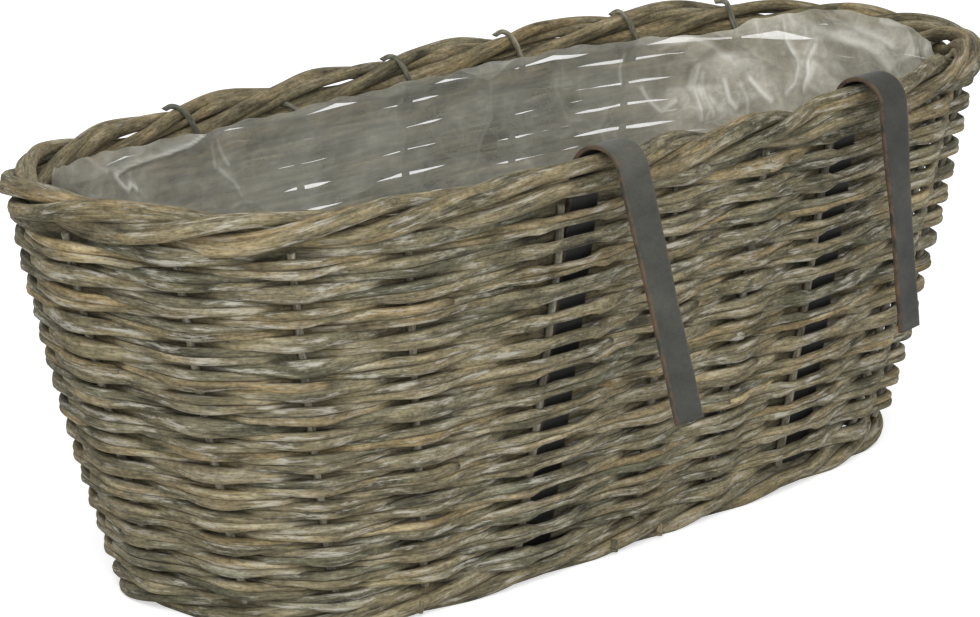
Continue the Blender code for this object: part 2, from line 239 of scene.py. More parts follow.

# Sharp folds of the film: strength, which also sets its painted highlight, width, and the (share, height)
# points that each passes; widths and points are in thousandths
FILM_FOLDS = (
    (0.85, 1.2, ((33, 181), (26, 172), (25, 167), (26, 159), (30, 153))),
    (0.8, 1.2, ((19, 179), (21, 170), (20, 163), (21, 156))),
    (0.6, 2.8, ((20, 187), (8, 185), (-3, 183), (-10, 180), (-16, 173))),
    (0.5, 1.8, ((10, 191), (-1, 190), (-10, 187), (-17, 184))),
    (0.45, 1.6, ((-10, 195), (-31, 195), (-47, 194))),
    (0.4, 1.4, ((-15, 173), (-22, 178), (-35, 184))),
    (0.85, 1.6, ((49, 160), (43, 154), (37, 149))),
    (0.6, 1.3, ((75, 168), (74, 156), (71, 141))),
    (0.5, 1.2, ((72, 163), (69, 152), (65, 144))),
    (0.85, 1.6, ((61, 159), (58, 150), (54, 145))),
    (0.5, 1.2, ((53, 157), (49, 149), (48, 143))),
    (0.4, 1.3, ((113, 179), (113, 171), (111, 163))),
    (0.6, 1.2, ((101, 160), (97, 153), (91, 147), (85, 152))),
    (0.8, 1, ((393, 180), (378, 181.5), (361, 182), (349, 183), (340, 186))),
    (0.75, 1.4, ((393, 179), (389, 173.5), (386, 171), (383, 173), (380, 170))),
    (0.35, 1.2, ((336, 180), (334, 174), (333, 168))),
    (0.35, 1.2, ((333, 181), (330, 175), (326, 168))),
    (0.3, 1.2, ((331, 167), (324, 159), (321, 152))),
)
FOLD_RISE = 0.0010
FOLD_GIRTH = 1.45

# Crumples: fewest and most round the wall, how many sets, and steepness. Their lines lean and bend,
# and each bend has a size, a count round the wall and a height. They fade in and out likewise.
BIG_CRUMPLES = (9, 40, 6, 0.045)
SMALL_CRUMPLES = (60, 150, 5, 0.032)
HAZE_CRUMPLES = (3, 12, 4, 0.5)
CRUMPLE_SPREAD = (0.9, 1.1)
CRUMPLE_LEAN = 0.75
CRUMPLE_BENDS = ((0.35, 3, 0.11), (0.22, 11, -0.05))
CRUMPLE_FADES = (2, 7)
CRUMPLE_FADE_HEIGHT = 0.16
CRUMPLE_GIRTH = 1.4

# How much of the crumples is left where the film is taut, low down and round its lower edge
TAUT_BIG = 0.12
TAUT_SMALL, LOOSE_SMALL = 0.10, 0.22
LOW_FOLDS = 0.35
BEND_FOLDS = 0.35

# Painted highlights on creases, as if each sharp turn caught the light: the turn of the surface that counts
# as 1, how much of it leaves no highlight and how much is the most, and how bright one gets; then the haze
# that crumples add, and both under the film
CREASE_TURN, CREASE_START, CREASE_PEAK = 0.0004, 0.30, 1.4
CREASE_GAIN, CREASE_HIGHLIGHT_MOST = 0.9, 0.55
TAUT_CREASE_HIGHLIGHT = 0.30
HAZE_GAIN, HAZE_START = 0.25, 0.2
UNDER_CREASE_HIGHLIGHT, UNDER_HAZE = 0.15, 0.25

# The film's rings and points, its place inside the wall and on the base, and its flat sheet
FILM_STEPS = 1200
FILM_LEVELS = 130
FILM_BEND_RINGS = 6
FILM_FLOOR_RINGS = 14
FILM_FOOT_RADIUS = 0.018
FILM_GAP = 0.0094
FILM_RIM_GAP = 0.0128
GAP_START, GAP_RISE = 0.165, 0.017
FILM_LIFT = 0.0004
FLOOR_REACH = 0.97
FLOOR_RISE, FLOOR_POWER = 0.0022, 0.3

# Camera, fitted to the photograph: place, pitch, roll and heading, and focal length in pixels
IMAGE_WIDTH_PX = 980
FOCAL_PX = 5000
SENSOR_MM = 36
CAMERA_FROM_MIDDLE = (-1.81709, -1.38269, 0.650657)
CAMERA_PITCH = 0.238829
CAMERA_ROLL = 0.0129545
CAMERA_HEADING = 0.913604

# Floor and light; a lamp has its name, its place from the camera or the middle, its size and watts
FLOOR_HALF = 4.0
FLOOR_GREY, FLOOR_GLOW = 0.66, 0.56
AMBIENT = ((0.97, 0.985, 1.0), 0.76)
CAMERA_LAMPS = (("key", (0.0, -0.04, 1.35), 1.5, 40), ("front", (0.14, -0.18, 0.15), 0.9, 13))
ROOM_LAMPS = (("fill", (1.6, -1.8, 1.2), 1.4, 6), ("back", (0.3, 2.4, 1.9), 1.6, 11))
LAMP_TARGET = (0, 0, 0.1)

# Each slot's willow and its colours: dark, middle, warm and pale bark, and scuffs
WILLOWS = {
    "willow": (
        "weathered_willow", (0.053, 0.049, 0.035), (0.139, 0.124, 0.083), (0.201, 0.174, 0.113),
        (0.294, 0.273, 0.205), (0.43, 0.41, 0.345)),
    "border_willow": (
        "border_willow_bark", (0.054, 0.049, 0.034), (0.128, 0.112, 0.073), (0.188, 0.158, 0.097),
        (0.26, 0.23, 0.165), (0.4, 0.38, 0.31)),
    "stake_willow": (
        "stake_willow_bark", (0.09, 0.083, 0.062), (0.175, 0.16, 0.122), (0.25, 0.23, 0.175),
        (0.36, 0.34, 0.27), (0.44, 0.43, 0.38)),
    "base_willow": (
        "base_willow_bark", (0.06, 0.054, 0.038), (0.15, 0.13, 0.088), (0.23, 0.19, 0.12),
        (0.31, 0.28, 0.2), (0.45, 0.43, 0.36)),
}

rng = np.random.default_rng(SEED)
finishes = {}


# Shader nodes

def feed(node, *inputs):
    """Set a node's inputs from (input, value) pairs; a node or a socket is linked, all else is kept there."""
    for name, value in inputs:
        socket = node.inputs[name]
        if isinstance(value, bpy.types.Node):
            value = value.outputs[0]
        if isinstance(value, bpy.types.NodeSocket):
            node.id_data.links.new(value, socket)
        else:
            socket.default_value = (*value, 1) if socket.type == "RGBA" else value


def add_node(tree, kind, *inputs, **settings):
    """A new shader node with these inputs and settings."""
    node = tree.nodes.new(f"ShaderNode{kind}")
    for setting, value in settings.items():
        setattr(node, setting, value)
    feed(node, *inputs)
    return node


def maths(operation, first, second):
    """One sum on a node or socket and another, or a number."""
    return add_node(first.id_data, "Math", (0, first), (1, second), operation=operation)


def mix_colours(factor, first, second, kind="MIX"):
    """A colour mix of a socket with a socket or a colour; the factor is a socket or a number."""
    return add_node(first.id_data, "Mix", (0, factor), (6, first), (7, second), data_type="RGBA",
                    blend_type=kind).outputs[2]


def ramp(source, *stops):
    """A colour ramp through (place, colour) stops; a number stands for a grey."""
    node = add_node(source.id_data, "ValToRGB", (0, source))
    band = node.color_ramp
    while len(band.elements) < len(stops):
        band.elements.new(0.5)
    for element, (place, value) in zip(band.elements, stops):
        element.position = place
        element.color = (*value, 1) if isinstance(value, tuple) else (value, value, value, 1)
    return node.outputs[0]


def tinted(colour, amount, source, *stops):
    """A colour multiplied by a ramp, by an amount."""
    return mix_colours(amount, colour, ramp(source, *stops), "MULTIPLY")


def attribute(tree, name):
    """A per-point value of the mesh."""
    return add_node(tree, "Attribute", attribute_name=name).outputs["Fac"]


def stretched(tree, scales):
    """The mesh's own places for patterns, multiplied by blobs per metre."""
    marks = add_node(tree, "Attribute", attribute_name="bark")
    return add_node(tree, "VectorMath", (0, marks.outputs["Vector"]), (1, scales), operation="MULTIPLY")


def streaks(tree, along, around, detail, roughness):
    """Noise on bark or film, stretched along a rod; the first two numbers are blobs per metre."""
    spots = stretched(tree, (along, around, around))
    return add_node(tree, "TexNoise", ("Vector", spots), ("Scale", 1.0), ("Detail", detail),
                    ("Roughness", roughness)).outputs["Fac"]


def bumps(source, distance, strength, under=None):
    """Relief from a height socket, over another relief if there is one."""
    sizes = ("Distance", distance), ("Strength", strength)
    node = add_node(source.id_data, "Bump", ("Height", source), *sizes)
    if under is not None:
        feed(node, ("Normal", under))
    return node


def new_finish(name):
    """A material, its node tree and its shader."""
    finish = bpy.data.materials.new(name)
    finish.use_nodes = True
    return finish, finish.node_tree, finish.node_tree.nodes["Principled BSDF"]


# Camera, floor and light

def make_camera():
    """The photograph's viewing place and angle."""
    heading, pitch, roll = CAMERA_HEADING, CAMERA_PITCH, CAMERA_ROLL
    ahead = Vector((math.sin(heading) * math.cos(pitch), math.cos(heading) * math.cos(pitch),
                    -math.sin(pitch)))
    level = Vector((math.cos(heading), -math.sin(heading), 0))
    up = level.cross(ahead)
    right = level * math.cos(roll) + up * math.sin(roll)
    top = up * math.cos(roll) - level * math.sin(roll)
    data = bpy.data.cameras.new("camera")
    data.sensor_width = SENSOR_MM
    data.lens = FOCAL_PX / IMAGE_WIDTH_PX * SENSOR_MM
    camera = new_object("camera", data)
    x, y, z = CAMERA_FROM_MIDDLE
    place = Vector((x + PLAN_MIDDLE[0], y + PLAN_MIDDLE[1], z))
    turn = Matrix((right, top, -ahead)).transposed().to_4x4()
    camera.matrix_world = Matrix.Translation(place) @ turn
    bpy.context.scene.camera = camera
    return place


def seen_directly(tree):
    """A socket that is 1 for what the camera sees, also in a gloss or through clear film."""
    rays = add_node(tree, "LightPath").outputs
    seen = maths("MAXIMUM", rays["Is Camera Ray"], rays["Is Glossy Ray"])
    return maths("MAXIMUM", seen, rays["Is Transmission Ray"])


def make_world():
    """A white surround to look at, and a plain soft light from all round."""
    world = bpy.data.worlds.new("studio")
    world.use_nodes = True
    tree = world.node_tree
    tree.nodes.clear()
    light = add_node(tree, "Background", ("Color", AMBIENT[0]), ("Strength", AMBIENT[1]))
    white = add_node(tree, "Background", ("Color", (1, 1, 1)), ("Strength", 1.0))
    mix = add_node(tree, "MixShader", (0, seen_directly(tree)), (1, light), (2, white))
    add_node(tree, "OutputWorld", ("Surface", mix))
    bpy.context.scene.world = world


def make_floor():
    """A pale floor that keeps the planter's shadow and is white where nothing shades it."""
    mesh = bpy.data.meshes.new("floor")
    corners = [(FLOOR_HALF * x, FLOOR_HALF * y, 0) for x, y in ((-1, -1), (1, -1), (1, 1), (-1, 1))]
    mesh.from_pydata(corners, [], [(0, 1, 2, 3)])
    floor = new_object("floor", mesh)
    paint, tree, shader = new_finish("pale_floor")
    feed(shader, ("Base Color", (FLOOR_GREY,) * 3), ("Roughness", 0.9), ("Specular IOR Level", 0.1))
    lift = maths("MULTIPLY", seen_directly(tree), FLOOR_GLOW)
    glow = add_node(tree, "Emission", ("Color", (1, 1, 1)), ("Strength", lift))
    both = add_node(tree, "AddShader", (0, shader), (1, glow))
    feed(tree.nodes["Material Output"], ("Surface", both))
    mesh.materials.append(paint)


def area_light(name, place, size, watts):
    """A large soft lamp that faces the planter."""
    data = bpy.data.lights.new(name, "AREA")
    data.shape = "DISK"
    data.size = size
    data.energy = watts
    lamp = new_object(name, data)
    lamp.location = place
    lamp.rotation_euler = (Vector(LAMP_TARGET) - place).to_track_quat("-Z", "Y").to_euler()


# Shapes

class Wall:
    """The wall's middle surface, read at a share of the way round and a height."""

    def __init__(self):
        self.heights = np.linspace(0, RIM_HEIGHT * PLAN_TOP_SHARE, PLAN_LEVELS)
        self.raw = [self.plan_line(height) for height in self.heights]
        shares = np.linspace(0, 1, PLAN_STEPS + 1)
        self.table = np.array([[np.interp(shares, line[2], line[axis]) for axis in (0, 1)]
                               for line in self.raw]).transpose(0, 2, 1)
        self.length = [line[3] for line in self.raw]

    @staticmethod
    def plan_line(height):
        """The line round the wall at a height, each point's share of the way round, and its length."""
        drop = 1 - height / RIM_HEIGHT
        inset = drop * (1 - WALL_BULGE_SHARE * (1 - drop))
        half_length = RIM_HALF_LENGTH - (RIM_HALF_LENGTH - FOOT_HALF_LENGTH) * inset
        half_width = RIM_HALF_WIDTH - (RIM_HALF_WIDTH - FOOT_HALF_WIDTH) * inset
        squareness = RIM_SQUARENESS + (FOOT_SQUARENESS - RIM_SQUARENESS) * drop
        turn = np.linspace(0, 2 * math.pi, PLAN_STEPS + 1)
        across, along = np.sin(turn), np.cos(turn)
        reach = (np.abs(along) ** squareness + np.abs(across) ** squareness) ** (-1 / squareness)
        x, y = half_length * reach * along, half_width * reach * across
        walked = walked_along(np.stack([x, y], 1))
        return x, y, walked / walked[-1], walked[-1]

    def read(self, share, height):
        """The middle surface's x and y, between its levels and steps."""
        level = np.clip(height / self.heights[1], 0, PLAN_LEVELS - 1)
        low = np.minimum(level.astype(int), PLAN_LEVELS - 2)
        step = (share % 1) * PLAN_STEPS
        left = np.minimum(step.astype(int), PLAN_STEPS - 1)
        up, ahead = (level - low)[..., None], (step - left)[..., None]
        lower, upper = [self.table[row, left] * (1 - ahead) + self.table[row, left + 1] * ahead
                        for row in (low, low + 1)]
        return lower * (1 - up) + upper * up

    def spots(self, share, height):
        """Points on the middle surface, and the level direction out of the wall there."""
        share, height = np.broadcast_arrays(np.asarray(share, float), np.asarray(height, float))
        gap = 1 / PLAN_STEPS
        run = unit(self.read(share + gap, height) - self.read(share - gap, height))
        flat = np.zeros(height.shape + (1,))
        outward = np.concatenate([run[..., 1:], -run[..., :1], flat], -1)
        place = np.concatenate([self.read(share, height) + PLAN_MIDDLE, height[..., None]], -1)
        return place, outward

    def front_share(self, x, height):
        """The share of the way round at which the front of the wall has this x."""
        level = int(round(float(np.clip(height / self.heights[1], 0, PLAN_LEVELS - 1))))
        line_x, _, shares, _ = self.raw[level]
        front = slice(PLAN_STEPS // 2, PLAN_STEPS + 1)
        return float(np.interp(x, line_x[front], shares[front]))

    def around(self, height):
        """How far it is round the wall at a height."""
        return float(np.interp(height, self.heights, self.length))


class Bundle:
    """Swept tubes and strips gathered into one mesh, with the marks that their finish reads."""

    def __init__(self):
        self.places, self.faces = [], []
        self.bark, self.tone, self.proud = [], [], []
        self.count = 0

    def sweep(self, line, lead, depth, height, closed=False, sides=ROD_SIDES, proud=0.5, shape=None,
              slant=0, squared=2):
        """A tube along a line; depth is measured along the lead direction and height across it."""
        count = len(line)
        run = np.gradient(line, axis=0)
        if closed:
            run = np.roll(line, -1, axis=0) - np.roll(line, 1, axis=0)
        run = unit(run)
        lead = unit(lead - run * (lead * run).sum(1, keepdims=True))
        across = np.cross(run, lead)
        if shape is None:
            angle = np.linspace(0, math.tau, sides, endpoint=False)
            shape = np.stack([np.cos(angle), np.sin(angle)], 1)
            shape = np.copysign(np.abs(shape) ** (2 / squared), shape)
        sides = len(shape)
        out, up = shape.T
        depth, height, level = [np.broadcast_to(size, (count,))[:, None] for size in (depth, height, proud)]
        rings = (line[:, None] + lead[:, None] * (depth * out)[..., None]
                 + across[:, None] * (height * up)[..., None])
        rings[-1] += run[-1] * (slant * depth[-1] * out)[:, None]
        spin = walked_along(shape)
        spin = spin * math.tau / (spin[-1] * sides / (sides - 1))
        seed = rng.uniform(0, 50)
        bark = np.zeros((count, sides, 3))
        bark[..., 0] = walked_along(line)[:, None] + seed
        bark[..., 1] = np.cos(spin) * depth
        bark[..., 2] = np.sin(spin) * height + seed
        self.places.append(rings.reshape(-1, 3))
        self.bark.append(bark.reshape(-1, 3))
        self.tone.append(np.full(count * sides, rng.uniform(0, 1)))
        # The proud mark sets wear and also painted shade and light: recessed and inward-facing spots low,
        # outward ones high
        self.proud.append(np.clip(level * PLACE_WEAR_AND_SHADE + (0.5 + 0.5 * out) * FACING_WEAR_AND_LIGHT, 0, 1).reshape(-1))
        index = self.count + np.arange(count * sides).reshape(count, sides)
        self.count += count * sides
        if closed:
            self.faces += ring_quads(index, np.roll(index, -1, axis=0))
        else:
            self.faces += ring_quads(index[:-1], index[1:])
            self.faces += [index[0][::-1].tolist(), index[-1].tolist()]

    def build(self, name, slot, node, ground=False):
        """The mesh as a piece that stands for a node."""
        places = np.concatenate(self.places)
        if ground:
            places[:, 2] = np.maximum(places[:, 2], 0)
        mesh = new_mesh(name, places, self.faces, bark=np.concatenate(self.bark),
                        tone=np.concatenate(self.tone), proud=np.concatenate(self.proud))
        settle(name, mesh, slot, node)


def ring_quads(lower, upper):
    """Quads between point numbers that run round one ring or more, and those of the rings above."""
    quads = np.stack([lower, np.roll(lower, -1, 1), np.roll(upper, -1, 1), upper], -1)
    return quads.reshape(-1, 4).tolist()


def new_mesh(name, places, faces, **marks):
    """A mesh with its quads shaded smooth, and one value or vector per point for each mark."""
    mesh = bpy.data.meshes.new(name)
    mesh.from_pydata(places.tolist(), [], faces)
    mesh.polygons.foreach_set("use_smooth", np.array([len(face) == 4 for face in faces]))
    for mark, values in marks.items():
        kind, field = ("FLOAT_VECTOR", "vector") if values.ndim == 2 else ("FLOAT", "value")
        layer = mesh.attributes.new(mark, kind, "POINT")
        layer.data.foreach_set(field, values.astype(np.float32).ravel())
    return mesh


def new_object(name, data):
    """A new object in the scene."""
    made = bpy.data.objects.new(name, data)
    bpy.context.scene.collection.objects.link(made)
    return made


def settle(name, mesh, slot, node):
    """Link a mesh as a piece of the planter, in place of a node."""
    mesh.materials.append(finishes[slot])
    piece = new_object(name, mesh)
    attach(piece, "root")
    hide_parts(node)
    return piece


def unit(directions):
    """The same directions with length 1."""
    return directions / np.linalg.norm(directions, axis=-1, keepdims=True)


def joined(x, y, z):
    """Points from their coordinates, each a run of numbers or one number for all."""
    return np.stack(np.broadcast_arrays(x, y, z), 1)


def walked_along(line):
    """How far along a line each of its points is."""
    return np.concatenate([[0], np.cumsum(np.linalg.norm(np.diff(line, axis=0), axis=1))])


def smoothed(line, times):
    """A run of points drawn towards their neighbours, apart from the two ends."""
    for _ in range(times):
        line[1:-1] = (line[:-2] + 2 * line[1:-1] + line[2:]) / 4
    return line


def eased(part):
    """A part from 0 to 1 that starts and ends gently."""
    return part * part * (3 - 2 * part)


def at_least(low, part):
    """A part from 0 to 1, fitted between a low value and 1."""
    return low + (1 - low) * part


def wander(length, wave, size):
    """A smooth random sway along a run of points, given how far along each one is."""
    waves = (1.0, 0.53, 0.29)
    total = np.zeros(len(length))
    for share in waves:
        total += share * np.sin(length / (wave * share) * math.tau + rng.uniform(0, math.tau))
    return size * total / sum(waves)


def ripples(share, counts):
    """A smooth random wave that closes round the wall."""
    return sum(np.sin(math.tau * (count * share) + rng.uniform(0, math.tau)) for count in counts)


def even_steps(start, end, spacing):
    """Evenly spaced values from start to end, no further apart than the spacing."""
    return np.linspace(start, end, max(2, int(math.ceil((end - start) / spacing)) + 1))


# Uprights

def upright_list():
    """Each upright's share at the rim and, for a hook, the x of its left edge."""
    found = [(share, None) for share in STAKE_SHARES]
    found += [(wall.front_share(x, RIM_HEIGHT), x - HOOK_UNIT_WIDTH / 2) for x in HOOK_PLACES]
    return sorted(found)


wall = Wall()
posts = upright_list()


def upright_edges(upright, height):
    """The shares at which a rod meets and leaves an upright."""
    share, left = upright
    if left is None:
        return share, share
    return (wall.front_share(left - HOOK_CLEARANCE, height),
            wall.front_share(left + HOOK_UNIT_WIDTH + HOOK_CLEARANCE, height))


def stretch(number, height):
    """Shares from one upright on to the next, and how far across the gap between them each one is."""
    count = len(posts)
    enter, leave = upright_edges(posts[number % count], height)
    ahead = upright_edges(posts[(number + 1) % count], height)[0]
    if (number + 1) % count == 0:
        ahead += 1
    step = ROD_STEP / wall.around(height)
    over = even_steps(enter, leave, step)[:-1] if leave > enter else np.zeros(0)
    between = even_steps(leave, ahead, step)[:-1]
    part = (between - leave) / (ahead - leave)
    return np.append(over, between), np.append(np.zeros(len(over)), part)


def nearness(share, edges, ease, hold):
    """How near each share is to an upright, from 1, which it holds for a while, down to 0."""
    enter, leave = edges
    away = np.maximum(np.maximum(enter - share, share - leave), 0)
    return np.clip(hold - away / ease, 0, 1)


def add_tip(bundle, share):
    """The thin end of a stake, which comes up inside the border and curls over it."""
    table = np.array(TIP_ROUTE) / 1000
    table[1:, 1:] += rng.normal(0, TIP_SPREAD, (len(table) - 1, 2))
    if share not in TIP_SHARES:
        table[:, 2] = table[0, 2] + (table[:, 2] - table[0, 2]) * LOW_TIP
    even = np.linspace(0, len(table) - 1, TIP_RINGS)
    route = np.stack([np.interp(even, np.arange(len(table)), column) for column in table.T], 1)
    route = smoothed(route, 3)
    place, outward = wall.spots(share + route[:, 0], route[:, 2])
    girth = TIP_RADIUS * np.linspace(*TIP_TAPER, len(route))
    bundle.sweep(place + outward * route[:, 1:2], outward, girth, girth, proud=0.85, slant=0.8)


def make_stakes():
    """The uprights, a little bent and thinner towards the rim."""
    for number, post in enumerate(posts):
        node = f"stake_{number + 1:02d}"
        low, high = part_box(node)
        heights = np.linspace(low.z, high.z, STAKE_RINGS)
        if post[1] is None:
            share = np.full(len(heights), post[0])
        else:
            share = np.array([wall.front_share(post[1] + STAKE_RADIUS, height) for height in heights])
            share = np.interp(heights, heights[::STAKE_STEP], share[::STAKE_STEP])
        place, outward = wall.spots(share, heights)
        place += outward * STAKE_OUT
        girth = STAKE_RADIUS * np.linspace(*STAKE_TAPER, STAKE_RINGS)
        girth += wander(heights - low.z, *STAKE_BENDS)
        bundle = Bundle()
        bundle.sweep(place, outward, girth, girth, proud=0.6)
        add_tip(bundle, post[0])
        bundle.tone[0][:], bundle.tone[1][:] = STAKE_TONE, TIP_TONE
        bundle.build(f"upright_{number + 1:02d}", "stake_willow", node)


# Weave

def crossing_height(number):
    """The height of a numbered crossing of the weaving and an upright, or of a place between two."""
    climb = (WEAVE_TOP - WEAVE_FOOT) / (WEAVE_ROWS * len(posts) + 1)
    return WEAVE_FOOT + climb * (number + 1)


def weave_line(first, last):
    """Share, height and sway along the weaving between two crossings."""
    runs = []
    for number in range(first, last + 1):
        share, part = stretch(number, crossing_height(number))
        side = 1 if number % 2 else -1
        swing = np.cos(math.pi * part)
        sway = side * np.copysign(np.abs(swing) ** SWAY_POWER, swing)
        runs.append((share + number // len(posts), crossing_height(number + part), sway))
    return [np.concatenate(column) for column in zip(*runs)]


def near_hooks(share):
    """How near each share is to a hook's bar, from 0 to 1."""
    hooks = [upright_edges(post, RIM_HEIGHT / 2) for post in posts if post[1] is not None]
    return np.max([nearness(share % 1, edges, HOOK_EASE_SHARE, HOOK_HOLD) for edges in hooks], axis=0)


def weave_rod(bundle, weaving, near, half_height, swell, offset):
    """One rod of the weave, thicker at its butt than at its tip, and thinner where it passes a hook."""
    share, height, sway = weaving
    place, outward = wall.spots(share, height)
    walked = walked_along(place)
    taper = rng.uniform(*ROD_SIZES) * (BUTT_SIZE - TIP_LOSS * walked / walked[-1])
    out = sway * WEAVER_SWAY + wander(walked, *ROD_BENDS)
    line = place + outward * out[:, None]
    depth = (WEAVER_DEPTH + wander(walked, *ROD_DEPTH_BENDS)) * taper
    outer = near * (0.5 + 0.5 * sway)
    swollen = swell * np.abs(sway) ** SWELL_POWER * (1 - outer)
    size = half_height / WEAVER_HEIGHT
    swollen += size * (HOOK_FILL * near * (0.5 - 0.5 * sway) - HOOK_THINNING * outer)
    swollen -= size * np.interp(share % 1, *np.array(BACK_THINNING).T / 1000)
    for middle in END_SHARES:
        swollen -= swell * (0.5 + 0.5 * sway) * np.exp(-((share % 1 - middle) / END_SPREAD) ** 2)
    tall = (half_height + swollen + wander(walked, *ROD_HEIGHT_BENDS)) * taper
    line[:, 2] += offset * tall + wander(walked, *ROD_LIFT_BENDS)
    bundle.sweep(line, outward, depth, tall, proud=0.5 + 0.5 * sway, squared=SQUARED)


def tail_crossings():
    """The crossings outside an upright that are nearest to the rod ends to be shown."""
    found = []
    for share, height in np.array(TAILS) / 1000:
        gaps = [abs((share - post[0] + 0.5) % 1 - 0.5) for post in posts]
        rows = range(gaps.index(min(gaps)), WEAVE_ROWS * len(posts), len(posts))
        found.append(min((number for number in rows if number % 2),
                         key=lambda number: abs(crossing_height(number) - height)))
    return found


def add_tail(bundle, number):
    """The slanted end of a rod, which comes out of the weave and lies over an upright."""
    share, height, sway = weave_line(number - 1, number)
    before = np.arange(len(share)) <= np.argmax(sway)
    kept = (before & (sway > TAIL_START)) | (~before & (sway > rng.uniform(*TAIL_ENDS)))
    place, outward = wall.spots(share[kept], height[kept])
    sway = sway[kept]
    line = place + outward * (sway * WEAVER_SWAY + TAIL_OUT)[:, None]
    line[:, 2] += TAIL_LIFT * rng.uniform(*TAIL_LIFTS)
    girth = TAIL_RADIUS * np.linspace(*TAIL_TAPER, len(line))
    bundle.sweep(line, outward, girth, girth * TAIL_HEIGHT, proud=0.5 + 0.5 * sway,
                 slant=rng.uniform(*TAIL_SLANTS))


def make_weave():
    """The wall's rods: some rows are one thick rod, and some a pair of thinner ones."""
    crossings = WEAVE_ROWS * len(posts)
    tails = tail_crossings()
    for index in range(WEAVER_COUNT):
        first, last = [round(place * crossings / WEAVER_COUNT) for place in (index, index + 1)]
        cuts = [first + part * (last - first) // WEAVER_LENGTHS for part in range(WEAVER_LENGTHS + 1)]
        cuts = [cut - cut % 2 for cut in cuts]
        cuts[-1] = min(cuts[-1], crossings - 1)
        bundle = Bundle()
        for start, end in zip(cuts, cuts[1:]):
            weaving = weave_line(start, end)
            near = near_hooks(weaving[0])
            if rng.uniform() < SINGLE_SHARE:
                weave_rod(bundle, weaving, near, WEAVER_HEIGHT, WEAVER_SWELL, 0)
                continue
            for side in (-1, 1):
                swell = PAIR_SWELL * rng.uniform(*PAIR_SWELLS)
                weave_rod(bundle, weaving, near, PAIR_HEIGHT, swell, side * PAIR_OFFSET)
        for number in tails:
            if first <= number <= last:
                add_tail(bundle, number)
        bundle.build(f"willow_rods_{index + 1:02d}", "willow", f"weaver_{index + 1:02d}")


# Twisted border and foot ring

def twist_line(strand, base_height, radius, parted):
    """Share, angle, out and lift along a strand of a twisted ring, which may part round the hooks."""
    third = math.tau / STRANDS
    runs = [stretch(number, base_height) for number in range(len(posts))]
    share = np.concatenate([run[0] for run in runs])
    angle = np.concatenate([third * (number + strand) + third * run[1] for number, run in enumerate(runs)])
    out, lift = radius * np.cos(angle), radius * np.sin(angle)
    ease = BORDER_HOOK_EASE / wall.around(base_height)
    for number, post in enumerate(posts):
        if parted and post[1] is not None:
            edges = upright_edges(post, base_height)
            near = eased(nearness(share, edges, ease, BORDER_HOOK_HOLD))
            there = BORDER_HOOK_PLACES[(number + strand) % STRANDS]
            out = out * (1 - near) + there[0] * near
            lift = lift * (1 - near) + there[1] * near
    return share, angle, out, lift


def make_border():
    """Three strands of two rods each, twisted round the rim."""
    for strand in range(STRANDS):
        share, angle, out, lift = twist_line(strand, RIM_HEIGHT, BORDER_TWIST_RADIUS, True)
        place, outward = wall.spots(share, RIM_HEIGHT + lift)
        walked = walked_along(place)
        bundle = Bundle()
        phase = rng.uniform(0, math.tau)
        swells = BORDER_SWELL * np.sin(math.tau * BORDER_SWELLS * walked / walked[-1] + phase)
        for number, rod_radius in enumerate(BORDER_ROD_RADII):
            spin = BORDER_ROD_TURNS * math.tau * share + phase + math.pi * number
            ripple = ripples(share, BORDER_RIPPLES)
            line = place + outward * (out + BORDER_ROD_OFFSET * np.cos(spin))[:, None]
            line[:, 2] += BORDER_ROD_OFFSET * np.sin(spin) + BORDER_RIPPLE_LIFT * ripple
            girth = rod_radius * (1 + swells + BORDER_RIPPLE_SWELL * ripple)
            bundle.sweep(line, outward, girth, girth * BORDER_TALLER, closed=True, sides=RING_SIDES,
                         proud=0.5 + 0.5 * np.cos(angle - BORDER_LIT), squared=BORDER_SQUARED)
        bundle.build(f"border_rods_{strand + 1}", "border_willow", f"border_strand_{strand + 1}")


def make_foot():
    """The thinner twisted ring that the planter stands on."""
    for strand in range(STRANDS):
        share, angle, out, lift = twist_line(strand, FOOT_HEIGHT, FOOT_TWIST_RADIUS, False)
        place, outward = wall.spots(share, FOOT_HEIGHT)
        line = place + outward * out[:, None]
        line[:, 2] += lift
        girth = FOOT_ROD_RADIUS * (1 + FOOT_RIPPLE_SWELL * ripples(share, FOOT_RIPPLES))
        bundle = Bundle()
        bundle.sweep(line, outward, girth, girth, closed=True, sides=RING_SIDES,
                     proud=0.5 + 0.5 * np.cos(angle))
        for nub_share in NUB_SHARES[strand::STRANDS]:
            add_nub(bundle, nub_share)
        bundle.build(f"foot_rods_{strand + 1}", "border_willow", f"foot_strand_{strand + 1}", ground=True)


def add_nub(bundle, share):
    """The cut end of a stake, which stands out of the foot ring."""
    part = np.linspace(0, 1, NUB_RINGS)
    place, outward = wall.spots(share + NUB_RUN_SHARE * (1 - part), FOOT_HEIGHT - NUB_REACH * part)
    line = place + outward * (NUB_OUT + NUB_REACH * part)[:, None]
    girth = NUB_RADIUS * np.linspace(*NUB_TAPER, NUB_RINGS)
    bundle.sweep(line, outward, girth, girth, proud=0.8, slant=0.2)


# Hooks

